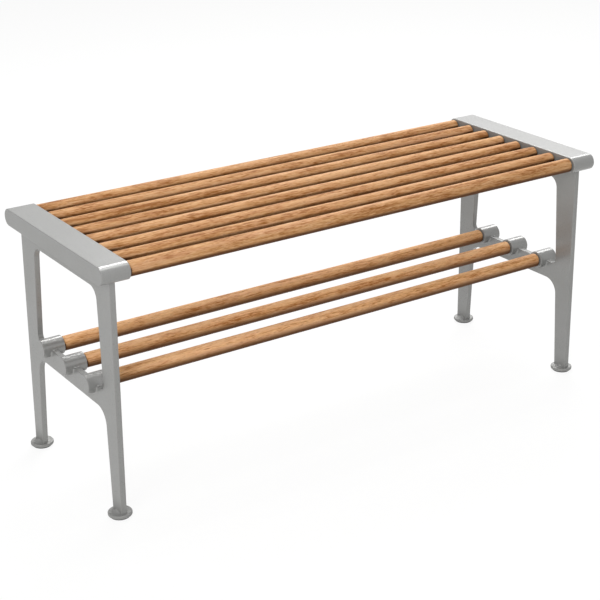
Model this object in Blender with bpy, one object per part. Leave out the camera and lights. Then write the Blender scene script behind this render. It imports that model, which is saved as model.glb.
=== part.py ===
"""Rod bench: eight round wooden seat rods and three shelf rods between two cast end frames.

X runs along the bench, -Y is the front, +Z is up. The origin is on the floor, under the middle.
"""
import math

import bmesh
import bpy
from mathutils import Matrix, Vector

# Overall size, in metres
LENGTH = 1.000
DEPTH = 0.352
HEIGHT = 0.433

# Top bar of an end frame: a flat bar with full round ends
BAR_WIDTH = 0.0495
BAR_HEIGHT = 0.0295
BAR_EDGE_RADIUS = 0.0015

# Leg plate under the middle of the bar, with a web at the top and a rail below
PLATE_THICKNESS = 0.010
PLATE_EDGE_RADIUS = 0.0015
WEB_DROP = 0.0255
LEG_SETBACK = 0.0167
LEG_TOP_WIDTH = 0.0482
LEG_FOOT_WIDTH = 0.0286
ARCH_RADIUS = 0.020
RAIL_HEIGHT = 0.033
RAIL_LOWER_RADIUS = 0.027
RAIL_UPPER_RADIUS = 0.010

# Cups on the rail, which hold the shelf rods
SHELF_HEIGHT = 0.209
CUP_DIAMETER = 0.032
CUP_LENGTH = 0.039
CUP_EDGE_RADIUS = 0.001
CUP_FILLET = 0.004

# Round cast feet, with a hollow flare from the rim up to the leg
FOOT_DIAMETER = 0.0395
FOOT_RIM_HEIGHT = 0.006
FOOT_EDGE_RADIUS = 0.0022
FOOT_LAND = 0.0015
FOOT_FLARE_HEIGHT = 0.008
FOOT_NECK_OVERLAP = 0.001

# Wooden rods, turned down to a tenon at each end
SEAT_ROD_COUNT = 8
SEAT_ROD_DIAMETER = 0.025
SEAT_ROD_INSET = 0.0167
SHELF_ROD_COUNT = 3
SHELF_ROD_DIAMETER = 0.025
SHELF_ROD_INSET = 0.0947
ROD_END_RADIUS = 0.003
TENON_DIAMETER = 0.016
TENON_LENGTH = 0.024
TENON_CHAMFER = 0.001

# Set screws that lock the tenons
SCREW_DIAMETER = 0.005
SCREW_LENGTH = 0.006
SCREW_CHAMFER = 0.0006
HEX_KEY_SIZE = 0.0025
HEX_KEY_DEPTH = 0.003
SCREW_FROM_FACE = 0.0075
CUP_SCREW_ANGLE = math.radians(35)

# Plastic glides pegged into the feet
GLIDE_DIAMETER = 0.033
GLIDE_THICKNESS = 0.002
GLIDE_EDGE = 0.0005
PEG_DIAMETER = 0.006
PEG_LENGTH = 0.0065

# Fits: seated faces, tenon ends, and the walls round tenons, screws and pegs
SEAT_GAP = 0.0003
BORE_CLEARANCE = 0.0003
END_CLEARANCE = 0.0010

# Levels and places that the sizes above give
BAR_AXIS_Z = HEIGHT - BAR_HEIGHT / 2
BAR_BOTTOM_Z = HEIGHT - BAR_HEIGHT
WEB_EDGE_Z = BAR_BOTTOM_Z - WEB_DROP
RAIL_TOP_Z = SHELF_HEIGHT
RAIL_BOTTOM_Z = RAIL_TOP_Z - RAIL_HEIGHT
FOOT_BASE_Z = GLIDE_THICKNESS + SEAT_GAP
FOOT_RIM_Z = FOOT_BASE_Z + FOOT_RIM_HEIGHT
LEG_OUTER_Y = DEPTH / 2 - LEG_SETBACK
FOOT_Y = LEG_OUTER_Y - LEG_FOOT_WIDTH / 2
PLATE_X = (LENGTH - BAR_WIDTH) / 2
BAR_FACE_X = LENGTH / 2 - BAR_WIDTH
CUP_FACE_X = PLATE_X - CUP_LENGTH / 2
SOCKET_DIAMETER = TENON_DIAMETER + 2 * BORE_CLEARANCE
SOCKET_DEPTH = SEAT_GAP + TENON_LENGTH + END_CLEARANCE

# Facets round a circle, by the size of the piece
ROD_FACETS = 20
CUP_FACETS = 24
FOOT_FACETS = 24
SOCKET_FACETS = 12
SCREW_FACETS = 12
PEG_FACETS = 16
NOSE_STEPS = 12
FILLET_STEPS = 5
EDGE_STEPS = 2
SMOOTH_ANGLE = math.radians(35)


def spread(count, inset):
    """Places from front to back, with the first and last an inset from the bench's edges."""
    reach = DEPTH / 2 - inset
    return [-reach + 2 * reach * i / (count - 1) for i in range(count)]


SEAT_ROD_YS = spread(SEAT_ROD_COUNT, SEAT_ROD_INSET)
SHELF_ROD_YS = spread(SHELF_ROD_COUNT, SHELF_ROD_INSET)


def clear_scene():
    for old in list(bpy.data.objects):
        bpy.data.objects.remove(old, do_unlink=True)


def make_material(name, colour, metallic, roughness):
    material = bpy.data.materials.new(name)
    material.use_nodes = True
    shader = material.node_tree.nodes["Principled BSDF"]
    shader.inputs["Base Color"].default_value = (*colour, 1.0)
    shader.inputs["Metallic"].default_value = metallic
    shader.inputs["Roughness"].default_value = roughness
    material.diffuse_color = (*colour, 1.0)
    return material


def cast_aluminium(name):
    return make_material(name, (0.42, 0.42, 0.41), 1.0, 0.45)


def oiled_wood(name):
    return make_material(name, (0.48, 0.25, 0.10), 0.0, 0.55)


def zinc_steel(name):
    return make_material(name, (0.55, 0.55, 0.54), 1.0, 0.30)


def black_plastic(name):
    return make_material(name, (0.03, 0.03, 0.03), 0.0, 0.60)


def make_object(name, mesh_builder, material=None, location=(0, 0, 0)):
    """Makes an object from a bmesh, with its faces pointing out."""
    bmesh.ops.recalc_face_normals(mesh_builder, faces=mesh_builder.faces)
    mesh = bpy.data.meshes.new(name)
    mesh_builder.to_mesh(mesh)
    mesh_builder.free()
    thing = bpy.data.objects.new(name, mesh)
    thing.location = location
    bpy.context.collection.objects.link(thing)
    if material is not None:
        mesh.materials.append(material)
    return thing


def shade_round(thing):
    thing.data.shade_smooth()
    thing.data.set_sharp_from_angle(angle=SMOOTH_ANGLE)


def combine(base, tools, operation):
    """Applies exact Booleans to base, and removes the tool objects."""
    for tool in tools:
        modifier = base.modifiers.new("combine", "BOOLEAN")
        modifier.operation = operation
        modifier.solver = "EXACT"
        modifier.object = tool
        evaluated = base.evaluated_get(bpy.context.evaluated_depsgraph_get())
        result = bpy.data.meshes.new_from_object(evaluated)
        base.modifiers.remove(modifier)
        base.data = result
        bpy.data.objects.remove(tool, do_unlink=True)


def add_rings(builder, rings, place=Matrix.Identity(4)):
    """Adds a closed skin through rings of equally many points, capped at both ends."""
    loops = [[builder.verts.new(place @ Vector(point)) for point in ring] for ring in rings]
    count = len(loops[0])
    for near, far in zip(loops, loops[1:]):
        for i in range(count):
            j = (i + 1) % count
            builder.faces.new((near[i], near[j], far[j], far[i]))
    builder.faces.new(loops[0])
    builder.faces.new(loops[-1])


def circle(radius, height, facets):
    """Points of a circle about Z."""
    step = 2 * math.pi / facets
    return [(radius * math.cos(i * step), radius * math.sin(i * step), height) for i in range(facets)]


def hexagon(across_flats, height):
    """Points of a hexagon about Z, at its corners and at the middles of its sides."""
    points = []
    for i in range(SCREW_FACETS):
        turn = 2 * math.pi * i / SCREW_FACETS
        from_flat = turn % (math.pi / 3) - math.pi / 6
        radius = across_flats / 2 / math.cos(from_flat)
        points.append((radius * math.cos(turn), radius * math.sin(turn), height))
    return points


def turned_rings(profile, facets):
    return [circle(radius, height, facets) for radius, height in profile]


def cylinder(name, diameter, bottom, top, facets, place):
    builder = bmesh.new()
    add_rings(builder, turned_rings([(diameter / 2, bottom), (diameter / 2, top)], facets), place)
    return make_object(name, builder)


def round_corner(before, corner, after, radius):
    """Points of the arc that rounds a corner of an outline."""
    corner = Vector(corner)
    to_before = (Vector(before) - corner).normalized()
    to_after = (Vector(after) - corner).normalized()
    half = to_before.angle(to_after) / 2
    middle = corner + (to_before + to_after).normalized() * radius / math.sin(half)
    first = corner + to_before * radius / math.tan(half) - middle
    last = corner + to_after * radius / math.tan(half) - middle
    sweep = first.angle_signed(last)
    points = []
    for i in range(FILLET_STEPS + 1):
        turn = -sweep * i / FILLET_STEPS
        points.append(middle + Matrix.Rotation(turn, 2) @ first)
    return points


def outline(corners):
    """Turns (y, z, radius) corners into the points of a rounded outline."""
    points = []
    for i, (y, z, radius) in enumerate(corners):
        before = corners[i - 1][:2]
        after = corners[(i + 1) % len(corners)][:2]
        if radius:
            points.extend(round_corner(before, (y, z), after, radius))
        else:
            points.append(Vector((y, z)))
    return points


def slab(name, points, middle_x, thickness):
    """A flat plate across X with the given outline in Y and Z."""
    builder = bmesh.new()
    rings = []
    for x in (middle_x - thickness / 2, middle_x + thickness / 2):
        rings.append([(x, y, z) for y, z in points])
    add_rings(builder, rings)
    return make_object(name, builder)


def round_slab_edges(thing, middle_x, thickness, radius):
    """Rounds the edges between a slab's two flat faces and its rim."""
    builder = bmesh.new()
    builder.from_mesh(thing.data)
    tolerance = thickness * 1e-3
    rims = []
    for edge in builder.edges:
        on_face = all(abs(abs(v.co.x - middle_x) - thickness / 2) < tolerance for v in edge.verts)
        if on_face and edge.calc_face_angle(0) > math.radians(60):
            rims.append(edge)
    bmesh.ops.bevel(builder, geom=rims, offset=radius, segments=EDGE_STEPS, profile=0.5,
                    affect="EDGES", clamp_overlap=True)
    builder.to_mesh(thing.data)
    builder.free()


def leg_inner_y(z):
    """How far from the middle a leg's inner edge is, at a height. The leg narrows towards its foot."""
    share = (z - FOOT_RIM_Z) / (WEB_EDGE_Z - FOOT_RIM_Z)
    return LEG_OUTER_Y - (LEG_FOOT_WIDTH + (LEG_TOP_WIDTH - LEG_FOOT_WIDTH) * share)


def make_bar(middle_x):
    """The seat-level bar, with full round front and back ends."""
    radius = BAR_HEIGHT / 2
    points = []
    for end in (1, -1):
        for i in range(NOSE_STEPS + 1):
            turn = math.pi * (i / NOSE_STEPS - 0.5)
            across = end * (DEPTH / 2 - radius + radius * math.cos(turn))
            points.append((across, BAR_AXIS_Z + end * radius * math.sin(turn)))
    bar = slab("bar", points, middle_x, BAR_WIDTH)
    round_slab_edges(bar, middle_x, BAR_WIDTH, BAR_EDGE_RADIUS)
    return bar


def make_plate(middle_x):
    """Both legs, the web under the bar and the rail between them, cast as one flat plate."""
    leg_end_z = FOOT_BASE_Z + FOOT_RIM_HEIGHT / 2
    inner_end_y = leg_inner_y(leg_end_z)
    inner_rail_y = leg_inner_y(RAIL_BOTTOM_Z)
    outer = [
        (LEG_OUTER_Y, leg_end_z, 0),
        (LEG_OUTER_Y, BAR_AXIS_Z, 0),
        (-LEG_OUTER_Y, BAR_AXIS_Z, 0),
        (-LEG_OUTER_Y, leg_end_z, 0),
        (-inner_end_y, leg_end_z, 0),
        (-inner_rail_y, RAIL_BOTTOM_Z, RAIL_LOWER_RADIUS),
        (inner_rail_y, RAIL_BOTTOM_Z, RAIL_LOWER_RADIUS),
        (inner_end_y, leg_end_z, 0),
    ]
    plate = slab("plate", outline(outer), middle_x, PLATE_THICKNESS)

    # The window over the rail steps up through each cup, where the cup's own metal fills it
    step_up = CUP_FILLET + CUP_EDGE_RADIUS
    half_step = math.sqrt((CUP_DIAMETER / 2) ** 2 - step_up ** 2)
    top_y = leg_inner_y(WEB_EDGE_Z)
    low_y = leg_inner_y(RAIL_TOP_Z)
    window = [
        (top_y, WEB_EDGE_Z, ARCH_RADIUS),
        (-top_y, WEB_EDGE_Z, ARCH_RADIUS),
        (-low_y, RAIL_TOP_Z, RAIL_UPPER_RADIUS),
    ]
    for y in SHELF_ROD_YS:
        window.append((y - half_step, RAIL_TOP_Z, CUP_FILLET))
        window.append((y - half_step, RAIL_TOP_Z + step_up, 0))
        window.append((y + half_step, RAIL_TOP_Z + step_up, 0))
        window.append((y + half_step, RAIL_TOP_Z, CUP_FILLET))
    window.append((low_y, RAIL_TOP_Z, RAIL_UPPER_RADIUS))
    cutter = slab("window", outline(window), middle_x, 2 * PLATE_THICKNESS)
    combine(plate, [cutter], "DIFFERENCE")
    round_slab_edges(plate, middle_x, PLATE_THICKNESS, PLATE_EDGE_RADIUS)
    return plate


def make_cup(middle_x, y):
    """A round cup lying along X, through the rail."""
    radius = CUP_DIAMETER / 2
    half = CUP_LENGTH / 2
    edge = CUP_EDGE_RADIUS
    near = [(radius - edge, -half), (radius, -half + edge)]
    profile = near + [(r, -along) for r, along in near[::-1]]
    place = Matrix.Translation((middle_x, y, SHELF_HEIGHT)) @ Matrix.Rotation(math.pi / 2, 4, "Y")
    builder = bmesh.new()
    add_rings(builder, turned_rings(profile, CUP_FACETS), place)
    return make_object("cup", builder)


def make_foot(middle_x, y):
    """A round foot with a rounded rim and a hollow flare up into the leg."""
    radius = FOOT_DIAMETER / 2
    edge = FOOT_EDGE_RADIUS
    profile = []
    for level, start in ((FOOT_BASE_Z + edge, -math.pi / 2), (FOOT_RIM_Z - edge, 0)):
        for i in range(EDGE_STEPS + 1):
            turn = start + math.pi / 2 * i / EDGE_STEPS
            profile.append((radius - edge + edge * math.cos(turn), level + edge * math.sin(turn)))
    flare = radius - edge - FOOT_LAND
    neck = PLATE_THICKNESS / 2 - FOOT_NECK_OVERLAP
    for i in range(FILLET_STEPS + 1):
        turn = math.pi / 2 * i / FILLET_STEPS
        profile.append((flare - (flare - neck) * math.sin(turn),
                        FOOT_RIM_Z + FOOT_FLARE_HEIGHT * (1 - math.cos(turn))))
    builder = bmesh.new()
    add_rings(builder, turned_rings(profile, FOOT_FACETS), Matrix.Translation((middle_x, y, 0)))
    return make_object("foot", builder)


def screw_places(side):
    """Where a frame's set screws go: matrices whose Z points out of each hole, from the tenon's axis."""
    down = Matrix.Rotation(math.pi, 4, "X")
    tilted = Matrix.Rotation(math.pi / 2 + CUP_SCREW_ANGLE, 4, "X")
    seat = []
    for y in SEAT_ROD_YS:
        at = (side * (BAR_FACE_X + SCREW_FROM_FACE), y, BAR_AXIS_Z)
        seat.append(Matrix.Translation(at) @ down)
    shelf = []
    for y in SHELF_ROD_YS:
        at = (side * (CUP_FACE_X + SCREW_FROM_FACE), y, SHELF_HEIGHT)
        shelf.append(Matrix.Translation(at) @ tilted)
    return seat, shelf


def make_end_frame(name, side):
    """One casting: bar, plate, cups and feet, bored for the tenons, screws and glide pegs."""
    middle_x = side * PLATE_X
    frame = make_bar(middle_x)
    frame.name = name
    solids = [make_plate(middle_x)]
    solids += [make_cup(middle_x, y) for y in SHELF_ROD_YS]
    solids += [make_foot(middle_x, y) for y in (-FOOT_Y, FOOT_Y)]
    combine(frame, solids, "UNION")

    along = Matrix.Rotation(side * math.pi / 2, 4, "Y")
    bores = []
    holes = [(BAR_FACE_X, y, BAR_AXIS_Z) for y in SEAT_ROD_YS]
    holes += [(CUP_FACE_X, y, SHELF_HEIGHT) for y in SHELF_ROD_YS]
    for x, y, z in holes:
        place = Matrix.Translation((side * x, y, z)) @ along
        mouth = -CUP_EDGE_RADIUS
        bores.append(cylinder("socket", SOCKET_DIAMETER, mouth, SOCKET_DEPTH, SOCKET_FACETS, place))
    seat, shelf = screw_places(side)
    screw_bore = SCREW_DIAMETER + 2 * BORE_CLEARANCE
    for place in seat + shelf:
        bores.append(cylinder("screw_hole", screw_bore, 0, CUP_DIAMETER, SCREW_FACETS, place))
    for y in (-FOOT_Y, FOOT_Y):
        place = Matrix.Translation((middle_x, y, FOOT_BASE_Z))
        peg_bore = PEG_DIAMETER + 2 * BORE_CLEARANCE
        depth = PEG_LENGTH + END_CLEARANCE
        bores.append(cylinder("peg_hole", peg_bore, -FOOT_RIM_HEIGHT, depth, PEG_FACETS, place))
    combine(frame, bores, "DIFFERENCE")
    frame.data.materials.clear()
    frame.data.materials.append(cast_aluminium(name + "_cast"))
    shade_round(frame)
    return frame


def make_rod(name, diameter, face_x, y, z):
    """A turned rod between the two frames: rounded shoulders, and a tenon in each socket."""
    radius = diameter / 2
    tenon = TENON_DIAMETER / 2
    shoulder = face_x - SEAT_GAP
    tip = shoulder + TENON_LENGTH
    half = [(tenon - TENON_CHAMFER, tip), (tenon, tip - TENON_CHAMFER), (tenon, shoulder)]
    for i in range(EDGE_STEPS + 1):
        turn = math.pi / 2 * (1 - i / EDGE_STEPS)
        half.append((radius - ROD_END_RADIUS * (1 - math.cos(turn)),
                     shoulder - ROD_END_RADIUS * (1 - math.sin(turn))))
    profile = [(r, -along) for r, along in half] + half[::-1]
    builder = bmesh.new()
    add_rings(builder, turned_rings(profile, ROD_FACETS), Matrix.Rotation(math.pi / 2, 4, "Y"))
    rod = make_object(name, builder, oiled_wood(name + "_wood"), (0, y, z))
    shade_round(rod)
    return rod


def screw_mesh():
    """A set screw along Z, with its hexagon socket at the top. Its tip stands off the tenon's axis."""
    tip = TENON_DIAMETER / 2 + SEAT_GAP
    end = tip + SCREW_LENGTH
    radius = SCREW_DIAMETER / 2
    body = [(radius - SCREW_CHAMFER, tip), (radius, tip + SCREW_CHAMFER), (radius, end)]
    rings = turned_rings(body, SCREW_FACETS)
    rings += [hexagon(HEX_KEY_SIZE, end), hexagon(HEX_KEY_SIZE, end - HEX_KEY_DEPTH)]
    builder = bmesh.new()
    add_rings(builder, rings)
    bmesh.ops.recalc_face_normals(builder, faces=builder.faces)
    mesh = bpy.data.meshes.new("set_screw")
    builder.to_mesh(mesh)
    builder.free()
    mesh.shade_smooth()
    mesh.set_sharp_from_angle(angle=SMOOTH_ANGLE)
    mesh.materials.append(None)
    return mesh


def make_screw(name, mesh, place):
    """One of the equal set screws, turned to its hole."""
    screw = bpy.data.objects.new(name, mesh)
    bpy.context.collection.objects.link(screw)
    screw.matrix_world = place
    screw.material_slots[0].link = "OBJECT"
    screw.material_slots[0].material = zinc_steel(name + "_steel")
    return screw


def make_glide(name, x, y):
    """A flat glide with a peg that goes up into the foot."""
    radius = GLIDE_DIAMETER / 2
    peg = PEG_DIAMETER / 2
    top = GLIDE_THICKNESS
    peg_top = FOOT_BASE_Z + PEG_LENGTH
    profile = [(radius - GLIDE_EDGE, 0), (radius, GLIDE_EDGE), (radius, top),
               (peg, top), (peg, peg_top - GLIDE_EDGE), (peg - GLIDE_EDGE, peg_top)]
    builder = bmesh.new()
    add_rings(builder, turned_rings(profile, PEG_FACETS))
    glide = make_object(name, builder, black_plastic(name + "_plastic"), (x, y, 0))
    shade_round(glide)
    return glide


def build_bench():
    for i, y in enumerate(SEAT_ROD_YS):
        make_rod(f"seat_rod_{i + 1}", SEAT_ROD_DIAMETER, BAR_FACE_X, y, BAR_AXIS_Z)
    for i, y in enumerate(SHELF_ROD_YS):
        make_rod(f"shelf_rod_{i + 1}", SHELF_ROD_DIAMETER, CUP_FACE_X, y, SHELF_HEIGHT)
    screw = screw_mesh()
    for word, side in (("left", -1), ("right", 1)):
        make_end_frame("end_frame_" + word, side)
        seat, shelf = screw_places(side)
        for i, place in enumerate(seat):
            make_screw(f"seat_screw_{word}_{i + 1}", screw, place)
        for i, place in enumerate(shelf):
            make_screw(f"shelf_screw_{word}_{i + 1}", screw, place)
        for end, y in (("front", -FOOT_Y), ("back", FOOT_Y)):
            make_glide(f"glide_{end}_{word}", side * PLATE_X, y)


clear_scene()
build_bench()
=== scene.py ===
import math

import bmesh
import bpy
from mathutils import Matrix, Vector


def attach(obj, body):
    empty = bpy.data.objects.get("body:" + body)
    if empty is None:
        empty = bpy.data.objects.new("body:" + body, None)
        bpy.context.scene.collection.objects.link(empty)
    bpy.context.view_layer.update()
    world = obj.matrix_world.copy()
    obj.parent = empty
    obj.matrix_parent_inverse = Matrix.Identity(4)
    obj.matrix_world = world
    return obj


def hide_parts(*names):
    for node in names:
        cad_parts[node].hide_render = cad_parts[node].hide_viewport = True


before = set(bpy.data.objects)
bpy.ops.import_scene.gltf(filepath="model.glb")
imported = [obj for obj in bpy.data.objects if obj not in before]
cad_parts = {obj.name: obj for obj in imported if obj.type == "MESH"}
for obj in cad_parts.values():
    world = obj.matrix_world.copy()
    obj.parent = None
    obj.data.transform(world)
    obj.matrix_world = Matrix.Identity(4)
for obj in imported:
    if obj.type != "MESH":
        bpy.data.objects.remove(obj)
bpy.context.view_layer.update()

scene = bpy.context.scene

# Camera: a long lens a little over two metres from the bench, level with a standing person's chest. It looks
# down on the near left corner, and the shift puts the bench a little above the middle, as in the photograph.
camera = bpy.data.objects.new("camera", bpy.data.cameras.new("camera"))
scene.collection.objects.link(camera)
scene.camera = camera
camera.location = (-1.40243, -2.03876, 1.23077)
camera.rotation_euler = [math.radians(turn) for turn in (70.5107, 0.422, -34.1142)]
camera.data.sensor_width = 36
camera.data.lens = 89.876
camera.data.shift_y = -0.13

# End frames: one aluminium casting each, a flat bar with full round ends on a plate that makes the web, the
# two legs and the rail. Cups for the shelf rods stand through the rail, and a round foot ends each leg. They
# are blasted and then lacquered silver grey. Nothing is screwed on: all corners carry the mould's fillets.
LENGTH = 1.000
DEPTH = 0.352
HEIGHT = 0.433
BAR_WIDTH = 0.0495
BAR_HEIGHT = 0.0295
EDGE_RADIUS = 0.0015
EDGE_STEPS = 6
PLATE_THICKNESS = 0.010
PLATE_X = (LENGTH - BAR_WIDTH) / 2
BAR_AXIS_Z = HEIGHT - BAR_HEIGHT / 2
BAR_BOTTOM_Z = HEIGHT - BAR_HEIGHT
BAR_FACE_X = LENGTH / 2 - BAR_WIDTH
WEB_EDGE_Z = BAR_BOTTOM_Z - 0.0255
LEG_OUTER_Y = DEPTH / 2 - 0.0167
LEG_TOP_WIDTH = 0.0482
LEG_FOOT_WIDTH = 0.0286
ARCH_RADIUS = 0.020
RAIL_TOP_Z = 0.209
RAIL_BOTTOM_Z = RAIL_TOP_Z - 0.033
RAIL_LOWER_RADIUS = 0.027
RAIL_UPPER_RADIUS = 0.010
CUP_RADIUS = 0.016
CUP_LENGTH = 0.039
CUP_EDGE = 0.001
CUP_FILLET = 0.004
CUP_FACE_X = PLATE_X - CUP_LENGTH / 2
CUP_EDGE_STEPS = 4
CUP_FILLET_STEPS = 36
FOOT_RADIUS = 0.01975
FOOT_BASE_Z = 0.0023
FOOT_RIM_Z = FOOT_BASE_Z + 0.006
FOOT_EDGE = 0.0022
FOOT_LAND = 0.0015
FOOT_FLARE = 0.008
FOOT_FLARE_STEPS = 12
FOOT_Y = LEG_OUTER_Y - LEG_FOOT_WIDTH / 2
LEG_END_Z = FOOT_BASE_Z + 0.003
MOULD_FILLET = 0.0025
FILLET_STEPS = 6
FILLET_RUN_OUT = 0.0003
FILLET_SINK = 0.0002
OVERLAP = 0.001
SEAT_ROD_COUNT = 8
SEAT_ROD_REACH = 0.1593
SEAT_ROD_YS = [-SEAT_ROD_REACH + 2 * SEAT_ROD_REACH * i / (SEAT_ROD_COUNT - 1)
               for i in range(SEAT_ROD_COUNT)]
SHELF_ROD_REACH = 0.0813
SHELF_ROD_YS = [-SHELF_ROD_REACH, 0.0, SHELF_ROD_REACH]
SOCKET_RADIUS = 0.0083
SOCKET_DEPTH = 0.0253
SCREW_FROM_FACE = 0.0075
SCREW_BORE = 0.0028
CUP_SCREW_ANGLE = math.radians(35)
PEG_BORE = 0.0033
PEG_BORE_START = -0.003
PEG_DEPTH = 0.0075
NOSE_STEPS = 32
TURNED_FACETS = 72
SOCKET_FACETS = 48
HOLE_FACETS = 32
RIM_ANGLE = math.radians(60)
RIM_TOLERANCE = 1e-5
SHARP_ANGLE = math.radians(32)


def linear(code):
    """Turns an sRGB hex colour into Blender's linear colour."""
    channels = [int(code[i:i + 2], 16) / 255 for i in (1, 3, 5)]
    return [c / 12.92 if c <= 0.04045 else ((c + 0.055) / 1.055) ** 2.4 for c in channels] + [1.0]


def add_node(tree, kind, sockets={}, stops=(), **settings):
    """Adds a node. Sockets maps its inputs to values or other nodes' outputs; stops are a ramp's colours."""
    node = tree.nodes.new(kind)
    for name, value in settings.items():
        setattr(node, name, value)
    shown = {socket.name: socket for socket in reversed(node.inputs) if socket.enabled}
    for key, value in sockets.items():
        socket = node.inputs[key] if isinstance(key, int) else shown[key]
        if isinstance(value, bpy.types.NodeSocket):
            tree.links.new(value, socket)
        else:
            socket.default_value = value
    for i, (place, colour) in enumerate(stops):
        elements = node.color_ramp.elements
        element = elements[i] if i < 2 else elements.new(place)
        element.position = place
        element.color = linear(colour)
    return node


def new_material(name):
    """An empty material, and the node tree to build it in."""
    material = bpy.data.materials.new(name)
    material.use_nodes = True
    material.node_tree.nodes.clear()
    return material, material.node_tree


def skin(rings, place=Matrix.Identity(4)):
    """A closed bmesh through rings of equally many points, capped at both ends."""
    builder = bmesh.new()
    loops = [[builder.verts.new(place @ Vector(point)) for point in ring] for ring in rings]
    for near, far in zip(loops, loops[1:]):
        for i in range(len(near)):
            j = (i + 1) % len(near)
            builder.faces.new((near[i], near[j], far[j], far[i]))
    builder.faces.new(loops[0])
    builder.faces.new(loops[-1])
    bmesh.ops.recalc_face_normals(builder, faces=builder.faces)
    return builder


def to_object(name, builder):
    """An object in the scene with the mesh of a bmesh, which is freed."""
    mesh = bpy.data.meshes.new(name)
    builder.to_mesh(mesh)
    builder.free()
    thing = bpy.data.objects.new(name, mesh)
    scene.collection.objects.link(thing)
    return thing


def turned(profile, facets, place):
    """A solid turned about Z from (radius, height) points."""
    rings = []
    for radius, height in profile:
        ring = []
        for i in range(facets):
            turn = 2 * math.pi * i / facets
            ring.append((radius * math.cos(turn), radius * math.sin(turn), height))
        rings.append(ring)
    return skin(rings, place)


def arc(middle, radius, start, end, steps):
    """Points of an arc, with its turns in degrees."""
    points = []
    for i in range(steps + 1):
        turn = math.radians(start + (end - start) * i / steps)
        points.append((middle[0] + radius * math.cos(turn), middle[1] + radius * math.sin(turn)))
    return points


def round_outline(corners, steps=14):
    """Turns (y, z, radius) corners into the points of a rounded outline."""
    points = []
    for i, (y, z, radius) in enumerate(corners):
        corner = Vector((y, z))
        if not radius:
            points.append(corner)
            continue
        to_before = (Vector(corners[i - 1][:2]) - corner).normalized()
        to_after = (Vector(corners[(i + 1) % len(corners)][:2]) - corner).normalized()
        half = to_before.angle(to_after) / 2
        middle = corner + (to_before + to_after).normalized() * radius / math.sin(half)
        first = corner + to_before * radius / math.tan(half) - middle
        last = corner + to_after * radius / math.tan(half) - middle
        sweep = first.angle_signed(last)
        for k in range(steps + 1):
            points.append(middle + Matrix.Rotation(-sweep * k / steps, 2) @ first)
    return points


def slab(points, middle_x, thickness):
    """A flat plate across X with the given outline in Y and Z."""
    rings = []
    for x in (middle_x - thickness / 2, middle_x + thickness / 2):
        rings.append([(x, y, z) for y, z in points])
    return skin(rings)


def round_rims(thing, middle_x, thickness, radius):
    """Rounds a slab's edges between its flat faces and its rim."""
    builder = bmesh.new()
    builder.from_mesh(thing.data)
    rims = []
    for edge in builder.edges:
        on_face = all(abs(abs(v.co.x - middle_x) - thickness / 2) < RIM_TOLERANCE for v in edge.verts)
        if on_face and edge.calc_face_angle(0) > RIM_ANGLE:
            rims.append(edge)
    bmesh.ops.bevel(builder, geom=rims, offset=radius, segments=4, profile=0.5, affect="EDGES",
                    clamp_overlap=True)
    builder.to_mesh(thing.data)
    builder.free()


def combine(base, tools, operation):
    """Joins or cuts base with all the tools at once, and removes them."""
    group = bpy.data.collections.new("tools")
    for tool in tools:
        group.objects.link(tool)
    modifier = base.modifiers.new("combine", "BOOLEAN")
    modifier.operation = operation
    modifier.solver = "EXACT"
    modifier.operand_type = "COLLECTION"
    modifier.collection = group
    evaluated = base.evaluated_get(bpy.context.evaluated_depsgraph_get())
    result = bpy.data.meshes.new_from_object(evaluated)
    base.modifiers.remove(modifier)
    base.data = result
    for tool in tools:
        bpy.data.objects.remove(tool, do_unlink=True)
    bpy.data.collections.remove(group)


def leg_inner_y(z):
    """The inner edge of a leg, which narrows evenly from the web down to the foot."""
    share = (z - FOOT_RIM_Z) / (WEB_EDGE_Z - FOOT_RIM_Z)
    return LEG_OUTER_Y - (LEG_FOOT_WIDTH + (LEG_TOP_WIDTH - LEG_FOOT_WIDTH) * share)


def cast_bar(middle_x):
    """The bar at seat level, with its full round ends."""
    radius = BAR_HEIGHT / 2
    points = arc((DEPTH / 2 - radius, BAR_AXIS_Z), radius, -90, 90, NOSE_STEPS)
    points += arc((-DEPTH / 2 + radius, BAR_AXIS_Z), radius, 90, 270, NOSE_STEPS)
    bar = to_object("bar", slab(points, middle_x, BAR_WIDTH))
    round_rims(bar, middle_x, BAR_WIDTH, EDGE_RADIUS)
    return bar


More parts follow.
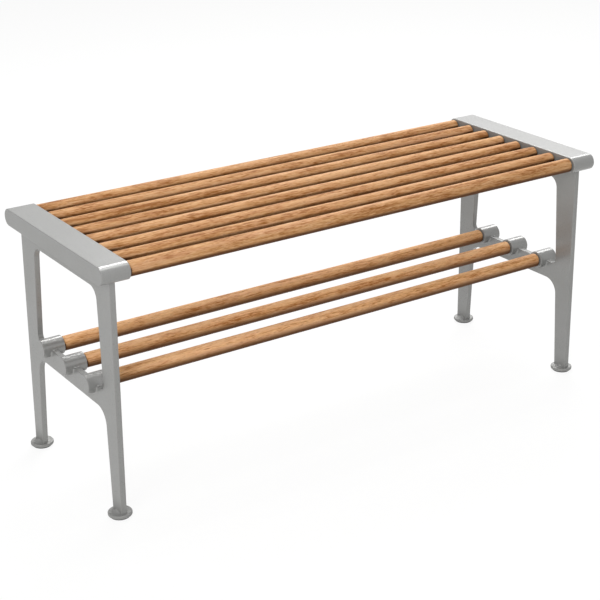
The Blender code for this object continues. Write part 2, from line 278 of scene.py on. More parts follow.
def cast_plate(middle_x):
    """Web, legs and rail, with the window over the rail cut out."""
    end_y = leg_inner_y(LEG_END_Z)
    rail_y = leg_inner_y(RAIL_BOTTOM_Z)
    outer = [
        (LEG_OUTER_Y, LEG_END_Z, 0),
        (LEG_OUTER_Y, BAR_AXIS_Z, 0),
        (-LEG_OUTER_Y, BAR_AXIS_Z, 0),
        (-LEG_OUTER_Y, LEG_END_Z, 0),
        (-end_y, LEG_END_Z, 0),
        (-rail_y, RAIL_BOTTOM_Z, RAIL_LOWER_RADIUS),
        (rail_y, RAIL_BOTTOM_Z, RAIL_LOWER_RADIUS),
        (end_y, LEG_END_Z, 0),
    ]
    plate = to_object("plate", slab(round_outline(outer), middle_x, PLATE_THICKNESS))
    step_up = CUP_FILLET + CUP_EDGE
    half_step = math.sqrt(CUP_RADIUS ** 2 - step_up ** 2)
    top_y = leg_inner_y(WEB_EDGE_Z)
    low_y = leg_inner_y(RAIL_TOP_Z)
    window = [
        (top_y, WEB_EDGE_Z, ARCH_RADIUS),
        (-top_y, WEB_EDGE_Z, ARCH_RADIUS),
        (-low_y, RAIL_TOP_Z, RAIL_UPPER_RADIUS),
    ]
    for y in SHELF_ROD_YS:
        window.append((y - half_step, RAIL_TOP_Z, CUP_FILLET))
        window.append((y - half_step, RAIL_TOP_Z + step_up, 0))
        window.append((y + half_step, RAIL_TOP_Z + step_up, 0))
        window.append((y + half_step, RAIL_TOP_Z, CUP_FILLET))
    window.append((low_y, RAIL_TOP_Z, RAIL_UPPER_RADIUS))
    cutter = to_object("window", slab(round_outline(window), middle_x, 2 * PLATE_THICKNESS))
    combine(plate, [cutter], "DIFFERENCE")
    round_rims(plate, middle_x, PLATE_THICKNESS, EDGE_RADIUS)
    return plate


def cast_cup(middle_x, y):
    """A cup for a shelf rod, solid until its socket is bored."""
    half = CUP_LENGTH / 2
    near = arc((CUP_RADIUS - CUP_EDGE, -half + CUP_EDGE), CUP_EDGE, -90, 0, CUP_EDGE_STEPS)
    profile = near + [(r, -along) for r, along in near[::-1]]
    place = Matrix.Translation((middle_x, y, RAIL_TOP_Z)) @ Matrix.Rotation(math.pi / 2, 4, "Y")
    return to_object("cup", turned(profile, TURNED_FACETS, place))


def cast_cup_fillet(middle_x, y, face):
    """The mould's fillet between a cup's lower half and one face of the rail."""
    start = PLATE_THICKNESS / 2
    section = [(start - OVERLAP, CUP_RADIUS - OVERLAP), (start - OVERLAP, CUP_RADIUS + MOULD_FILLET)]
    section += [(start + MOULD_FILLET - d, CUP_RADIUS + MOULD_FILLET - r)
                for d, r in arc((0, 0), MOULD_FILLET, 0, 90, FILLET_STEPS)]
    section += [(start + MOULD_FILLET + FILLET_RUN_OUT, CUP_RADIUS - OVERLAP)]
    rings = []
    clear = math.degrees(math.asin(EDGE_RADIUS / CUP_RADIUS))
    for i in range(CUP_FILLET_STEPS + 1):
        turn = math.radians(180 + clear + (180 - 2 * clear) * i / CUP_FILLET_STEPS)
        rings.append([(middle_x + face * d, y + r * math.cos(turn), RAIL_TOP_Z + r * math.sin(turn))
                      for d, r in section])
    return to_object("cup_fillet", skin(rings))


def cast_bar_fillet(middle_x):
    """The mould's fillet between the bar's underside and the plate."""
    levels = [(-FILLET_SINK, MOULD_FILLET + OVERLAP)]
    levels += [(MOULD_FILLET * (1 - math.cos(t)), MOULD_FILLET * (1 - math.sin(t)))
               for t in (math.pi / 2 / FILLET_STEPS * i for i in range(FILLET_STEPS + 1))]
    levels += [(MOULD_FILLET, -OVERLAP)]
    rings = []
    for out, drop in levels:
        ring = []
        for sx, sy, start in ((1, 1, 0), (-1, 1, 90), (-1, -1, 180), (1, -1, 270)):
            middle = (sx * (PLATE_THICKNESS / 2 - EDGE_RADIUS), sy * (LEG_OUTER_Y - EDGE_RADIUS))
            ring += arc(middle, EDGE_RADIUS + out, start, start + 90, EDGE_STEPS)
        rings.append([(middle_x + x, y, BAR_BOTTOM_Z - drop) for x, y in ring])
    return to_object("bar_fillet", skin(rings))


def cast_foot(middle_x, y):
    """A round foot, whose rim flares up into the leg."""
    edge_out = FOOT_RADIUS - FOOT_EDGE
    profile = arc((edge_out, FOOT_BASE_Z + FOOT_EDGE), FOOT_EDGE, -90, 0, EDGE_STEPS)
    profile += arc((edge_out, FOOT_RIM_Z - FOOT_EDGE), FOOT_EDGE, 0, 90, EDGE_STEPS)
    flare = edge_out - FOOT_LAND
    neck = PLATE_THICKNESS / 2 - OVERLAP
    for i in range(FOOT_FLARE_STEPS + 1):
        turn = math.pi / 2 * i / FOOT_FLARE_STEPS
        profile.append((flare - (flare - neck) * math.sin(turn),
                        FOOT_RIM_Z + FOOT_FLARE * (1 - math.cos(turn))))
    return to_object("foot", turned(profile, TURNED_FACETS, Matrix.Translation((middle_x, y, 0))))


def bore(radius, bottom, top, facets, place):
    """A round cutter along Z."""
    return to_object("bore", turned([(radius, bottom), (radius, top)], facets, place))


def cast_frame(name, side):
    """One casting with its bores for the rods' tenons, the set screws and the glides' pegs."""
    middle_x = side * PLATE_X
    casting = cast_bar(middle_x)
    casting.name = name
    solids = [cast_plate(middle_x), cast_bar_fillet(middle_x)]
    for y in SHELF_ROD_YS:
        solids.append(cast_cup(middle_x, y))
        solids += [cast_cup_fillet(middle_x, y, face) for face in (-1, 1)]
    solids += [cast_foot(middle_x, y) for y in (-FOOT_Y, FOOT_Y)]
    combine(casting, solids, "UNION")
    along = Matrix.Rotation(side * math.pi / 2, 4, "Y")
    tilted = Matrix.Rotation(math.pi / 2 + CUP_SCREW_ANGLE, 4, "X")
    bores = []
    for x, z, ys, turn in ((BAR_FACE_X, BAR_AXIS_Z, SEAT_ROD_YS, Matrix.Rotation(math.pi, 4, "X")),
                           (CUP_FACE_X, RAIL_TOP_Z, SHELF_ROD_YS, tilted)):
        for y in ys:
            mouth = Matrix.Translation((side * x, y, z)) @ along
            bores.append(bore(SOCKET_RADIUS, -OVERLAP, SOCKET_DEPTH, SOCKET_FACETS, mouth))
            hole = Matrix.Translation((side * (x + SCREW_FROM_FACE), y, z)) @ turn
            bores.append(bore(SCREW_BORE, 0, 2 * CUP_RADIUS, HOLE_FACETS, hole))
    for y in (-FOOT_Y, FOOT_Y):
        base = Matrix.Translation((middle_x, y, FOOT_BASE_Z))
        bores.append(bore(PEG_BORE, PEG_BORE_START, PEG_DEPTH, HOLE_FACETS, base))
    combine(casting, bores, "DIFFERENCE")
    return casting


def finish_shading(thing):
    """Smooth shading that leaves flat faces flat: normals lean towards the larger faces."""
    thing.data.shade_smooth()
    thing.data.set_sharp_from_angle(angle=SHARP_ANGLE)
    modifier = thing.modifiers.new("lean", "WEIGHTED_NORMAL")
    modifier.keep_sharp = True
    modifier.weight = 90
    evaluated = thing.evaluated_get(bpy.context.evaluated_depsgraph_get())
    result = bpy.data.meshes.new_from_object(evaluated)
    thing.modifiers.remove(modifier)
    thing.data = result


# Silver-grey lacquer on a blasted casting: an even satin grey, whose fine grain breaks up reflections. Shoes
# and mops have scuffed the feet, which are duller than the rest.
lacquer, tree = new_material("silver_lacquer_on_cast_aluminium")
where = add_node(tree, "ShaderNodeTexCoord").outputs["Object"]
cloud = add_node(tree, "ShaderNodeTexNoise", {"Vector": where, "Scale": 14, "Detail": 3, "Roughness": 0.5})
tone = add_node(tree, "ShaderNodeValToRGB", {"Fac": cloud.outputs["Fac"]},
                stops=((0.30, "#888886"), (0.70, "#8C8C8B")))
grain = add_node(tree, "ShaderNodeTexNoise", {"Vector": where, "Scale": 700, "Detail": 2, "Roughness": 0.6})
satin = add_node(tree, "ShaderNodeMapRange", {"Value": grain.outputs["Fac"], "From Min": 0.3, "From Max": 0.7,
                                              "To Min": 0.272, "To Max": 0.288})
bump = add_node(tree, "ShaderNodeBump", {"Height": grain.outputs["Fac"], "Strength": 0.04,
                                         "Distance": 0.0004})
height = add_node(tree, "ShaderNodeSeparateXYZ", {0: where}).outputs["Z"]
scuffed = add_node(tree, "ShaderNodeMapRange", {"Value": height, "From Min": 0.040, "From Max": 0.016,
                                                "To Min": 0.0, "To Max": 0.30})
dull = add_node(tree, "ShaderNodeMath", {0: satin.outputs["Result"], 1: scuffed.outputs["Result"]},
                operation="ADD")
shader = add_node(tree, "ShaderNodeBsdfPrincipled",
                  {"Base Color": tone.outputs["Color"], "Roughness": dull.outputs[0],
                   "Normal": bump.outputs["Normal"], "Metallic": 0.35})
add_node(tree, "ShaderNodeOutputMaterial", {"Surface": shader.outputs["BSDF"]})

left = cast_frame("casting_left", -1)
finish_shading(left)
left.data.materials.clear()
left.data.materials.append(lacquer)
flipped = bmesh.new()
flipped.from_mesh(left.data)
for vert in flipped.verts:
    vert.co.x = -vert.co.x
bmesh.ops.reverse_faces(flipped, faces=flipped.faces)
right = to_object("casting_right", flipped)
finish_shading(right)
right.data.materials.clear()
right.data.materials.append(lacquer)
for casting, node in ((left, "end_frame_left"), (right, "end_frame_right")):
    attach(casting, "root")
    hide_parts(node)

# Rods: eight at the seat and three at the shelf, turned from straight-grained hardwood and oiled. Each end is
# turned down to a tenon that sits in its socket, and the shoulder's rounded edge leaves a dark line there.
ROD_RADIUS = 0.0125
ROD_EDGE = 0.003
ROD_EDGE_STEPS = 8
TENON_RADIUS = 0.008
TENON_LENGTH = 0.024
TENON_CHAMFER = 0.001
SHOULDER_GAP = 0.0003
SHOULDER_STEP = 0.00002
ROD_FACETS = 64
SHIFT_MAX = 9
PAINTED_LIGHT_TONE = 0.17


def rods_tree():
    """Geometry nodes that turn rods from a profile and lay them out in a row from front to back."""
    tree = bpy.data.node_groups.new("turned_rods", "GeometryNodeTree")
    face = tree.interface
    face.new_socket("Profile", in_out="INPUT", socket_type="NodeSocketGeometry")
    for name, kind in (("Count", "Int"), ("First Y", "Float"), ("Pitch", "Float"), ("Height", "Float"),
                       ("Facets", "Int"), ("Seed", "Int"), ("Painted Light", "Float"), ("Shade From", "Float"),
                       ("Wood", "Material")):
        face.new_socket(name, in_out="INPUT", socket_type="NodeSocket" + kind)
    face.new_socket("Rods", in_out="OUTPUT", socket_type="NodeSocketGeometry")
    given = add_node(tree, "NodeGroupInput").outputs
    axis = add_node(tree, "GeometryNodeMeshToCurve", {"Mesh": given["Profile"]})
    width = add_node(tree, "GeometryNodeInputNamedAttribute", {"Name": "turned_radius"}, data_type="FLOAT")
    circle = add_node(tree, "GeometryNodeCurvePrimitiveCircle", {"Resolution": given["Facets"],
                                                                 "Radius": 1.0})
    body = add_node(tree, "GeometryNodeCurveToMesh", {"Curve": axis.outputs["Curve"],
                                                      "Profile Curve": circle.outputs["Curve"],
                                                      "Scale": width.outputs["Attribute"], "Fill Caps": True})
    start = add_node(tree, "ShaderNodeCombineXYZ", {"Y": given["First Y"], "Z": given["Height"]})
    step = add_node(tree, "ShaderNodeCombineXYZ", {"Y": given["Pitch"]})
    row = add_node(tree, "GeometryNodeMeshLine", {"Count": given["Count"], "Start Location": start.outputs[0],
                                                  "Offset": step.outputs[0]}, mode="OFFSET")
    rods = add_node(tree, "GeometryNodeInstanceOnPoints", {"Points": row.outputs["Mesh"],
                                                           "Instance": body.outputs["Mesh"]})
    chance = add_node(tree, "FunctionNodeRandomValue", {"Min": (0, 0, 0), "Max": (SHIFT_MAX,) * 3,
                                                        "Seed": given["Seed"]}, data_type="FLOAT_VECTOR")
    marked = add_node(tree, "GeometryNodeStoreNamedAttribute",
                      {"Geometry": rods.outputs["Instances"], "Name": "grain_shift",
                       "Value": chance.outputs["Value"]}, data_type="FLOAT_VECTOR", domain="INSTANCE")
    # Paleness is painted light: a colour lift that makes up for the shade the seat casts on the shelf rods.
    toned = add_node(tree, "GeometryNodeStoreNamedAttribute",
                     {"Geometry": marked.outputs["Geometry"], "Name": "painted_light", "Value": given["Painted Light"]},
                     data_type="FLOAT", domain="INSTANCE")
    # Shade From: the facing at which the wood's painted underside shade begins.
    shaded = add_node(tree, "GeometryNodeStoreNamedAttribute",
                      {"Geometry": toned.outputs["Geometry"], "Name": "shade_from",
                       "Value": given["Shade From"]}, data_type="FLOAT", domain="INSTANCE")
    real = add_node(tree, "GeometryNodeRealizeInstances", {"Geometry": shaded.outputs["Geometry"]})
    finished = add_node(tree, "GeometryNodeSetMaterial", {"Geometry": real.outputs["Geometry"],
                                                          "Material": given["Wood"]})
    add_node(tree, "NodeGroupOutput", {"Rods": finished.outputs["Geometry"]})
    return tree


def from_nodes(name, mesh, tree, values):
    """A plain mesh object made by a tree from a mesh, with the values for the tree's named inputs."""
    draft = bpy.data.objects.new(name + "_draft", mesh)
    scene.collection.objects.link(draft)
    modifier = draft.modifiers.new("nodes", "NODES")
    modifier.node_group = tree
    for item in tree.interface.items_tree:
        if item.in_out == "INPUT" and item.name in values:
            modifier[item.identifier] = values[item.name]
    evaluated = draft.evaluated_get(bpy.context.evaluated_depsgraph_get())
    result = bpy.data.meshes.new_from_object(evaluated)
    bpy.data.objects.remove(draft, do_unlink=True)
    result.name = name
    thing = bpy.data.objects.new(name, result)
    scene.collection.objects.link(thing)
    return thing


def rod_profile(face_x):
    """The axis of a rod as a line of points, each with the radius that it is turned to."""
    shoulder = face_x - SHOULDER_GAP
    tip = shoulder + TENON_LENGTH
    half = [(tip, TENON_RADIUS - TENON_CHAMFER), (tip - TENON_CHAMFER, TENON_RADIUS),
            (shoulder + SHOULDER_STEP, TENON_RADIUS)]
    half += arc((shoulder - ROD_EDGE, ROD_RADIUS - ROD_EDGE), ROD_EDGE, 0, 90, ROD_EDGE_STEPS)
    whole = [(-x, r) for x, r in half] + half[::-1]
    mesh = bpy.data.meshes.new("rod_profile")
    mesh.from_pydata([(x, 0, 0) for x, r in whole], [(i, i + 1) for i in range(len(whole) - 1)], [])
    mesh.attributes.new("turned_radius", "FLOAT", "POINT")
    mesh.attributes["turned_radius"].data.foreach_set("value", [r for x, r in whole])
    return mesh


# Oiled teak: golden brown, in growth bands that wander slowly along the rod, with ochre and pinker patches,
# short dark pores and pale flecks. Real pores are 0.2 mm wide, drawn 1.2 mm here so that they show. Painted
# shade darkens the undersides and the narrow gaps between rods, and painted light lifts the shelf rods, which
# the seat shades.
teak, tree = new_material("oiled_teak")
where = add_node(tree, "ShaderNodeTexCoord").outputs["Object"]
shift = add_node(tree, "ShaderNodeAttribute", attribute_name="grain_shift")
moved = add_node(tree, "ShaderNodeVectorMath", {0: where, 1: shift.outputs["Vector"]},
                 operation="ADD").outputs[0]
own = add_node(tree, "ShaderNodeMapRange", {"Value": shift.outputs["Fac"], "From Max": SHIFT_MAX,
                                            "To Min": 0.48, "To Max": 0.52})
# Painted light: the shelf rods, which the seat shades, get a lighter tone, and the seat rods a slightly
# darker one.
painted_light = add_node(tree, "ShaderNodeAttribute", attribute_name="painted_light").outputs["Fac"]
tone = add_node(tree, "ShaderNodeMath", {0: painted_light, 1: PAINTED_LIGHT_TONE, 2: own.outputs["Result"]},
                operation="MULTIPLY_ADD").outputs[0]
grain = {}
for name, length, width, detail, weight in (
        ("band", 0.400, 0.0100, 2, 0.58),
        ("patch", 0.060, 0.0100, 2, 0.42),
        ("streak", 0.026, 0.0022, 3, 0.55),
        ("pore", 0.011, 0.0012, 1, 0.70)):
    stretched = add_node(tree, "ShaderNodeMapping", {"Vector": moved,
                                                     "Scale": (1 / length, 1 / width, 1 / width)})
    noise = add_node(tree, "ShaderNodeTexNoise", {"Vector": stretched.outputs[0], "Scale": 1,
                                                  "Detail": detail, "Distortion": 0.3})
    grain[name] = noise.outputs["Fac"]
    part = add_node(tree, "ShaderNodeMath", {0: grain[name], 1: 0.5}, operation="SUBTRACT")
    tone = add_node(tree, "ShaderNodeMath", {0: part.outputs[0], 1: weight, 2: tone},
                    operation="MULTIPLY_ADD").outputs[0]
body = add_node(tree, "ShaderNodeValToRGB", {"Fac": tone},
                stops=((0.32, "#89582D"), (0.68, "#CFA67E"), (0.50, "#B9895E")))
ochre = add_node(tree, "ShaderNodeMapRange", {"Value": grain["patch"], "From Min": 0.40, "From Max": 0.60,
                                              "To Min": 0.0, "To Max": 0.25})
pink = add_node(tree, "ShaderNodeMapRange", {"Value": grain["band"], "From Min": 0.55, "From Max": 0.70,
                                             "To Min": 0.0, "To Max": 0.30})
dark = add_node(tree, "ShaderNodeMapRange", {"Value": grain["pore"], "From Min": 0.60, "From Max": 0.74,
                                             "To Min": 0.0, "To Max": 0.55})
pale = add_node(tree, "ShaderNodeMapRange", {"Value": grain["streak"], "From Min": 0.62, "From Max": 0.76,
                                             "To Min": 0.0, "To Max": 0.35})
colour = body.outputs["Color"]
for share, code in ((ochre, "#B88D58"), (pink, "#B48065"), (dark, "#75431F"), (pale, "#D3B08B")):
    colour = add_node(tree, "ShaderNodeMixRGB", {"Fac": share.outputs["Result"], "Color1": colour,
                                                 "Color2": linear(code)}).outputs["Color"]
# Painted light: the same setting also scales the colour up on the shelf rods.
painted_light_gain = add_node(tree, "ShaderNodeMath", {0: painted_light, 1: 1.0}, operation="ADD").outputs[0]
colour = add_node(tree, "ShaderNodeVectorMath", {0: colour, "Scale": painted_light_gain}, operation="SCALE").outputs[0]
# Painted shade: the rods turn dark brown towards their undersides, from the facing that Shade From sets.
facing = add_node(tree, "ShaderNodeSeparateXYZ", {0: add_node(tree, "ShaderNodeTexCoord").outputs["Normal"]})
shade_from = add_node(tree, "ShaderNodeAttribute", attribute_name="shade_from").outputs["Fac"]
painted_underside_shade = add_node(tree, "ShaderNodeMapRange", {"Value": facing.outputs["Z"], "From Min": shade_from,
                                              "From Max": -0.45, "To Min": 0.0, "To Max": 0.95},
                 interpolation_type="SMOOTHSTEP")
# Painted shade: side-facing wood with a neighbouring rod close by, and any tight corner, is darkened by
# occlusion.
beside = add_node(tree, "ShaderNodeMapRange", {"Value": facing.outputs["Z"], "From Min": 0.46,
                                               "From Max": 0.24, "To Min": 0.0, "To Max": 1.0})
gap = add_node(tree, "ShaderNodeAmbientOcclusion", {"Distance": 0.03}, samples=12).outputs["AO"]
narrow = add_node(tree, "ShaderNodeMapRange", {"Value": gap, "From Min": 0.92, "From Max": 0.70,
                                               "To Min": 0.0, "To Max": 1.0})
between = add_node(tree, "ShaderNodeMath", {0: beside.outputs["Result"], 1: narrow.outputs["Result"]},
                   operation="MULTIPLY")
corner = add_node(tree, "ShaderNodeMapRange", {"Value": gap, "From Min": 0.62, "From Max": 0.40,
                                               "To Min": 0.0, "To Max": 0.80})
painted_gap_shade = add_node(tree, "ShaderNodeMath", {0: between.outputs[0], 1: corner.outputs["Result"]},
                 operation="MAXIMUM")
# Mixes in the painted shade: dark brown on the undersides, darker brown in the gaps between rods.
for share, code in ((painted_underside_shade.outputs["Result"], "#4C2C13"), (painted_gap_shade.outputs[0], "#3A210D")):
    colour = add_node(tree, "ShaderNodeMixRGB", {"Fac": share, "Color1": colour,
                                                 "Color2": linear(code)}).outputs["Color"]
oil = add_node(tree, "ShaderNodeMapRange", {"Value": grain["streak"], "From Min": 0.3, "From Max": 0.7,
                                            "To Min": 0.58, "To Max": 0.70})
bump = add_node(tree, "ShaderNodeBump", {"Height": grain["pore"], "Strength": 0.25, "Distance": 0.0004},
                invert=True)
shader = add_node(tree, "ShaderNodeBsdfPrincipled", {"Base Color": colour, "IOR": 1.50,
                                                     "Specular IOR Level": 0.12,
                                                     "Roughness": oil.outputs["Result"],
                                                     "Normal": bump.outputs["Normal"]})
add_node(tree, "ShaderNodeOutputMaterial", {"Surface": shader.outputs["BSDF"]})

# Paleness lifts the shelf rods with painted light. Shade From sets where each row's painted underside shade
# begins.
tree = rods_tree()
seat_rods = from_nodes("seat_rods_turned", rod_profile(BAR_FACE_X), tree,
                       {"Count": len(SEAT_ROD_YS), "First Y": SEAT_ROD_YS[0],
                        "Pitch": SEAT_ROD_YS[1] - SEAT_ROD_YS[0],
                        "Height": BAR_AXIS_Z, "Facets": ROD_FACETS, "Seed": 5, "Painted Light": -0.04,
                        "Shade From": 0.0, "Wood": teak})
shelf_rods = from_nodes("shelf_rods_turned", rod_profile(CUP_FACE_X), tree,
                        {"Count": len(SHELF_ROD_YS), "First Y": SHELF_ROD_YS[0],
                         "Pitch": SHELF_ROD_YS[1] - SHELF_ROD_YS[0],
                         "Height": RAIL_TOP_Z, "Facets": ROD_FACETS, "Seed": 11, "Painted Light": 0.26,
                         "Shade From": 0.60, "Wood": teak})
for rods, word, count in ((seat_rods, "seat_rod", len(SEAT_ROD_YS)),
                          (shelf_rods, "shelf_rod", len(SHELF_ROD_YS))):
    rods.data.shade_smooth()
    rods.data.set_sharp_from_angle(angle=SHARP_ANGLE)
    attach(rods, "root")
    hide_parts(*[f"{word}_{i + 1}" for i in range(count)])

# Set screws: zinc-plated steel grub screws with a hexagon socket, one for each tenon. They go up into the
# bars from below, and into the cups from the front and below, where a small bright dot shows on each.
SCREW_RADIUS = 0.0025
SCREW_TIP = TENON_RADIUS + 0.0003
SCREW_END = SCREW_TIP + 0.006
SCREW_CHAMFER = 0.0006
SCREW_POINT_RADIUS = 0.0009
SCREW_DOME_WIDTH = 0.0003
SCREW_DOME_DROP = 0.0001
SCREW_FACETS = 24
THREAD_PITCH = 0.0008
THREAD_DEPTH = 0.0004
THREAD_CREST = 0.0002
THREAD_ROOT = 0.0006
THREAD_END = 0.0005
KEY_SIZE = 0.0025
KEY_DEPTH = 0.003
KEY_CHAMFER = 0.0003
KEY_CHAMFER_DROP = 0.0002


def grub_screw():
    """A grub screw along Z with its rings of thread, a domed end face and a hexagon socket."""
    profile = [(SCREW_POINT_RADIUS, SCREW_TIP),
               (SCREW_RADIUS - SCREW_CHAMFER, SCREW_TIP + SCREW_CHAMFER / 2)]
    level = SCREW_TIP + SCREW_CHAMFER
    while level < SCREW_END - THREAD_END - THREAD_ROOT:
        profile += [(SCREW_RADIUS, level + THREAD_CREST), (SCREW_RADIUS - THREAD_DEPTH, level + THREAD_ROOT)]
        level += THREAD_PITCH
    profile += [(SCREW_RADIUS, SCREW_END - THREAD_END),
                (SCREW_RADIUS - SCREW_DOME_WIDTH, SCREW_END - SCREW_DOME_DROP)]
    turns = [2 * math.pi * i / SCREW_FACETS for i in range(SCREW_FACETS)]
    rings = [[(radius * math.cos(turn), radius * math.sin(turn), height) for turn in turns]
             for radius, height in profile]
    for size, height in ((KEY_SIZE + KEY_CHAMFER, SCREW_END), (KEY_SIZE, SCREW_END - KEY_CHAMFER_DROP),
                         (KEY_SIZE, SCREW_END - KEY_DEPTH)):
        ring = []
        for turn in turns:
            radius = size / 2 / math.cos(turn % (math.pi / 3) - math.pi / 6)
            ring.append((radius * math.cos(turn), radius * math.sin(turn), height))
        rings.append(ring)
    builder = skin(rings)
    mesh = bpy.data.meshes.new("grub_screw")
    builder.to_mesh(mesh)
    builder.free()
    return mesh


def screws_tree():
    """Geometry nodes that set copies of a screw along a row from front to back, all tilted alike."""
    tree = bpy.data.node_groups.new("set_screws", "GeometryNodeTree")
    face = tree.interface
    face.new_socket("Screw", in_out="INPUT", socket_type="NodeSocketGeometry")
    for name, kind in (("Count", "Int"), ("X", "Float"), ("First Y", "Float"), ("Pitch", "Float"),
                       ("Height", "Float"), ("Tilt", "Float"), ("Seed", "Int"), ("Steel", "Material")):
        face.new_socket(name, in_out="INPUT", socket_type="NodeSocket" + kind)
    face.new_socket("Screws", in_out="OUTPUT", socket_type="NodeSocketGeometry")
    given = add_node(tree, "NodeGroupInput").outputs
    start = add_node(tree, "ShaderNodeCombineXYZ", {"X": given["X"], "Y": given["First Y"],
                                                    "Z": given["Height"]})
    step = add_node(tree, "ShaderNodeCombineXYZ", {"Y": given["Pitch"]})
    row = add_node(tree, "GeometryNodeMeshLine", {"Count": given["Count"], "Start Location": start.outputs[0],
                                                  "Offset": step.outputs[0]}, mode="OFFSET")
    spin = add_node(tree, "FunctionNodeRandomValue", {"Min": 0.0, "Max": math.pi / 3, "Seed": given["Seed"]},
                    data_type="FLOAT")
    spun = add_node(tree, "ShaderNodeCombineXYZ", {"Z": spin.outputs[1]})
    tilted = add_node(tree, "ShaderNodeCombineXYZ", {"X": given["Tilt"]})
    own = add_node(tree, "FunctionNodeEulerToRotation", {0: spun.outputs[0]})
    lean = add_node(tree, "FunctionNodeEulerToRotation", {0: tilted.outputs[0]})
    turn = add_node(tree, "FunctionNodeRotateRotation", {0: lean.outputs[0], 1: own.outputs[0]},
                    rotation_space="LOCAL")
    placed = add_node(tree, "GeometryNodeInstanceOnPoints", {"Points": row.outputs["Mesh"],
                                                             "Instance": given["Screw"],
                                                             "Rotation": turn.outputs[0]})
    real = add_node(tree, "GeometryNodeRealizeInstances", {"Geometry": placed.outputs["Instances"]})
    finished = add_node(tree, "GeometryNodeSetMaterial", {"Geometry": real.outputs["Geometry"],
                                                          "Material": given["Steel"]})
    add_node(tree, "NodeGroupOutput", {"Screws": finished.outputs["Geometry"]})
    return tree


# Zinc-plated steel: a bright, slightly uneven grey with a soft gloss.
zinc, tree = new_material("zinc_plated_steel")
where = add_node(tree, "ShaderNodeTexCoord").outputs["Object"]
cloud = add_node(tree, "ShaderNodeTexNoise", {"Vector": where, "Scale": 900, "Detail": 2})
tone = add_node(tree, "ShaderNodeValToRGB", {"Fac": cloud.outputs["Fac"]},
                stops=((0.30, "#C4C4C0"), (0.70, "#DCDCD8")))
satin = add_node(tree, "ShaderNodeMapRange", {"Value": cloud.outputs["Fac"], "To Min": 0.22, "To Max": 0.36})
bump = add_node(tree, "ShaderNodeBump", {"Height": cloud.outputs["Fac"], "Strength": 0.1, "Distance": 0.0001})
shader = add_node(tree, "ShaderNodeBsdfPrincipled", {"Base Color": tone.outputs["Color"], "Metallic": 1.0,
                                                     "Roughness": satin.outputs["Result"],
                                                     "Normal": bump.outputs["Normal"]})
add_node(tree, "ShaderNodeOutputMaterial", {"Surface": shader.outputs["BSDF"]})

tree = screws_tree()
for word, side in (("left", -1), ("right", 1)):
    for kind, face_x, ys, height, tilt in (
            ("seat_screw", BAR_FACE_X, SEAT_ROD_YS, BAR_AXIS_Z, math.pi),
            ("shelf_screw", CUP_FACE_X, SHELF_ROD_YS, RAIL_TOP_Z, math.pi / 2 + CUP_SCREW_ANGLE)):
        name = f"{kind}_{word}"
        count = len(ys)
        screws = from_nodes(name + "_set", grub_screw(), tree,
                            {"Count": count, "X": side * (face_x + SCREW_FROM_FACE), "First Y": ys[0],
                             "Pitch": ys[1] - ys[0], "Height": height, "Tilt": tilt, "Seed": count + side,
                             "Steel": zinc})
        screws.data.shade_smooth()
        screws.data.set_sharp_from_angle(angle=SHARP_ANGLE)
        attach(screws, "root")
        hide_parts(*[f"{name}_{i + 1}" for i in range(count)])

# Glides: moulded black polythene discs under the four feet, which keep the castings off the floor. Each has
# a peg in its middle, pressed into a bore in the foot.
GLIDE_RADIUS = 0.0165
GLIDE_HEIGHT = 0.002
GLIDE_LOWER_EDGE = 0.0005
GLIDE_LOWER_STEPS = 4
GLIDE_UPPER_EDGE = 0.0003
GLIDE_UPPER_STEPS = 3
GLIDE_FACETS = 48
PEG_RADIUS = 0.003
PEG_CHAMFER = 0.0005
PEG_TOP = 0.0088

# Black polythene: an even near-black with the faint skin of the mould, a little waxy.
polythene, tree = new_material("black_polythene")
where = add_node(tree, "ShaderNodeTexCoord").outputs["Object"]
skin_grain = add_node(tree, "ShaderNodeTexNoise", {"Vector": where, "Scale": 800, "Detail": 2})
tone = add_node(tree, "ShaderNodeValToRGB", {"Fac": skin_grain.outputs["Fac"]},
                stops=((0.30, "#1B1B1C"), (0.70, "#262627")))
waxy = add_node(tree, "ShaderNodeMapRange", {"Value": skin_grain.outputs["Fac"], "From Min": 0.3,
                                             "From Max": 0.7, "To Min": 0.50, "To Max": 0.60})
bump = add_node(tree, "ShaderNodeBump", {"Height": skin_grain.outputs["Fac"], "Strength": 0.2,
                                         "Distance": 0.0003})
shader = add_node(tree, "ShaderNodeBsdfPrincipled", {"Base Color": tone.outputs["Color"], "IOR": 1.51,
                                                     "Roughness": waxy.outputs["Result"],
                                                     "Normal": bump.outputs["Normal"]})
add_node(tree, "ShaderNodeOutputMaterial", {"Surface": shader.outputs["BSDF"]})
for end, y in (("front", -FOOT_Y), ("back", FOOT_Y)):
    for word, side in (("left", -1), ("right", 1)):
        profile = arc((GLIDE_RADIUS - GLIDE_LOWER_EDGE, GLIDE_LOWER_EDGE), GLIDE_LOWER_EDGE, -90, 0,
                      GLIDE_LOWER_STEPS)
        profile += arc((GLIDE_RADIUS - GLIDE_UPPER_EDGE, GLIDE_HEIGHT - GLIDE_UPPER_EDGE),
                       GLIDE_UPPER_EDGE, 0, 90, GLIDE_UPPER_STEPS)
        profile += [(PEG_RADIUS, GLIDE_HEIGHT), (PEG_RADIUS, PEG_TOP - PEG_CHAMFER),
                    (PEG_RADIUS - PEG_CHAMFER, PEG_TOP)]
        glide = to_object(f"glide_{end}_{word}_moulded",
                          turned(profile, GLIDE_FACETS, Matrix.Translation((side * PLATE_X, y, 0))))
        glide.data.shade_smooth()
        glide.data.set_sharp_from_angle(angle=SHARP_ANGLE)
        glide.data.materials.append(polythene)
        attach(glide, "root")
        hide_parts(f"glide_{end}_{word}")

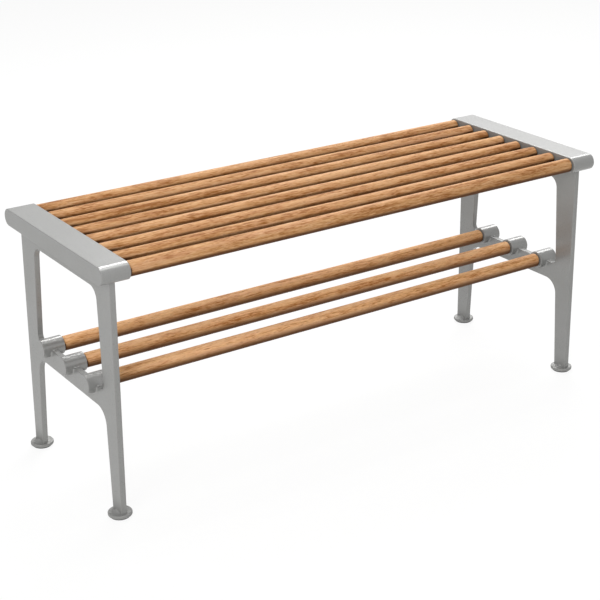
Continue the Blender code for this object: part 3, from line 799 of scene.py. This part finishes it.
# Floor and studio: white paper under the bench, a big soft box in front of it on the left, and smaller ones
# over it and behind it on the right. The camera and mirrors see paper and world as an even white, with the
# bench's shadow on the paper. That white lights nothing: other rays meet plain grey paper and a dim world.
FLOOR_REACH = 20
FLOOR_Z = -0.0005
PAPER_GLOW = 0.90
BOX_AIM = (0, 0, 0.4)
floor_mesh = bpy.data.meshes.new("floor")
floor_mesh.from_pydata([(sx * FLOOR_REACH, sy * FLOOR_REACH, FLOOR_Z)
                        for sx, sy in ((-1, -1), (1, -1), (1, 1), (-1, 1))], [], [(0, 1, 2, 3)])
floor = bpy.data.objects.new("floor", floor_mesh)
scene.collection.objects.link(floor)


def seen_or_mirrored(tree):
    """1 for a ray from the camera, off a glossy surface or through glass, and otherwise 0."""
    path = add_node(tree, "ShaderNodeLightPath").outputs
    share = path["Is Camera Ray"]
    for kind in ("Is Glossy Ray", "Is Transmission Ray"):
        share = add_node(tree, "ShaderNodeMath", {0: share, 1: path[kind]}, operation="MAXIMUM").outputs[0]
    return share


paper, tree = new_material("white_studio_paper")
white = add_node(tree, "ShaderNodeEmission", {"Color": (1, 1, 1, 1), "Strength": 1.0})
matte = add_node(tree, "ShaderNodeBsdfDiffuse", {"Color": linear("#F4F4F2")})
lit = add_node(tree, "ShaderNodeMixShader", {0: PAPER_GLOW, 1: matte.outputs[0], 2: white.outputs[0]})
bounce = add_node(tree, "ShaderNodeBsdfDiffuse", {"Color": linear("#D0D0CE")})
both = add_node(tree, "ShaderNodeMixShader", {0: seen_or_mirrored(tree), 1: bounce.outputs[0],
                                              2: lit.outputs[0]})
add_node(tree, "ShaderNodeOutputMaterial", {"Surface": both.outputs[0]})
# Lamp sampling doesn't know which kind of ray asks, so the paper stays out of it, as does the world below.
paper.cycles.emission_sampling = "NONE"
floor_mesh.materials.append(paper)


def soft_box(name, place, size, power):
    """A rectangular area lamp that faces the bench."""
    lamp = bpy.data.objects.new(name, bpy.data.lights.new(name, "AREA"))
    scene.collection.objects.link(lamp)
    lamp.data.shape = "RECTANGLE"
    lamp.data.size, lamp.data.size_y = size
    lamp.data.energy = power
    lamp.location = place
    lamp.rotation_euler = (Vector(BOX_AIM) - Vector(place)).to_track_quat("-Z", "Y").to_euler()
    return lamp


key = soft_box("box_key", (-2.5, -2.7, 1.9), (3.2, 2.6), 147)
# Kept out of reflections, where its edges would draw bright arcs on the round castings.
key.visible_glossy = False
for name, place, power in (("box_over", (0.0, 0.0, 3.2), 42), ("box_rim", (1.32, 1.77, 2.72), 70),
                           ("box_side", (3.40, 2.10, 3.40), 47), ("box_low", (1.99, 1.99, 1.94), 6)):
    soft_box(name, place, (1.5, 1.5), power)

# World: a dim room that is lighter on the left and behind the bench.
world = bpy.data.worlds.new("world")
scene.world = world
world.use_nodes = True
tree = world.node_tree
tree.nodes.clear()
ray = add_node(tree, "ShaderNodeTexCoord").outputs["Generated"]
ray = add_node(tree, "ShaderNodeSeparateXYZ", {"Vector": ray}).outputs
level = 0.0
for axis, end, strength in (("X", -1, 0.20), ("Y", 1, 0.92)):
    part = add_node(tree, "ShaderNodeMapRange", {"Value": ray[axis], "From Min": 0.0, "From Max": end,
                                                 "To Min": 0.0, "To Max": strength})
    level = add_node(tree, "ShaderNodeMath", {0: part.outputs["Result"], 1: level},
                     operation="ADD").outputs[0]
fill = add_node(tree, "ShaderNodeBackground", {"Color": (1, 1, 1, 1), "Strength": level})
plain = add_node(tree, "ShaderNodeBackground", {"Color": (1, 1, 1, 1), "Strength": 1.0})
both = add_node(tree, "ShaderNodeMixShader", {0: seen_or_mirrored(tree), 1: fill.outputs[0],
                                              2: plain.outputs[0]})
add_node(tree, "ShaderNodeOutputWorld", {"Surface": both.outputs[0]})
world.cycles.sampling_method = "NONE"

scene.view_settings.view_transform = "Standard"
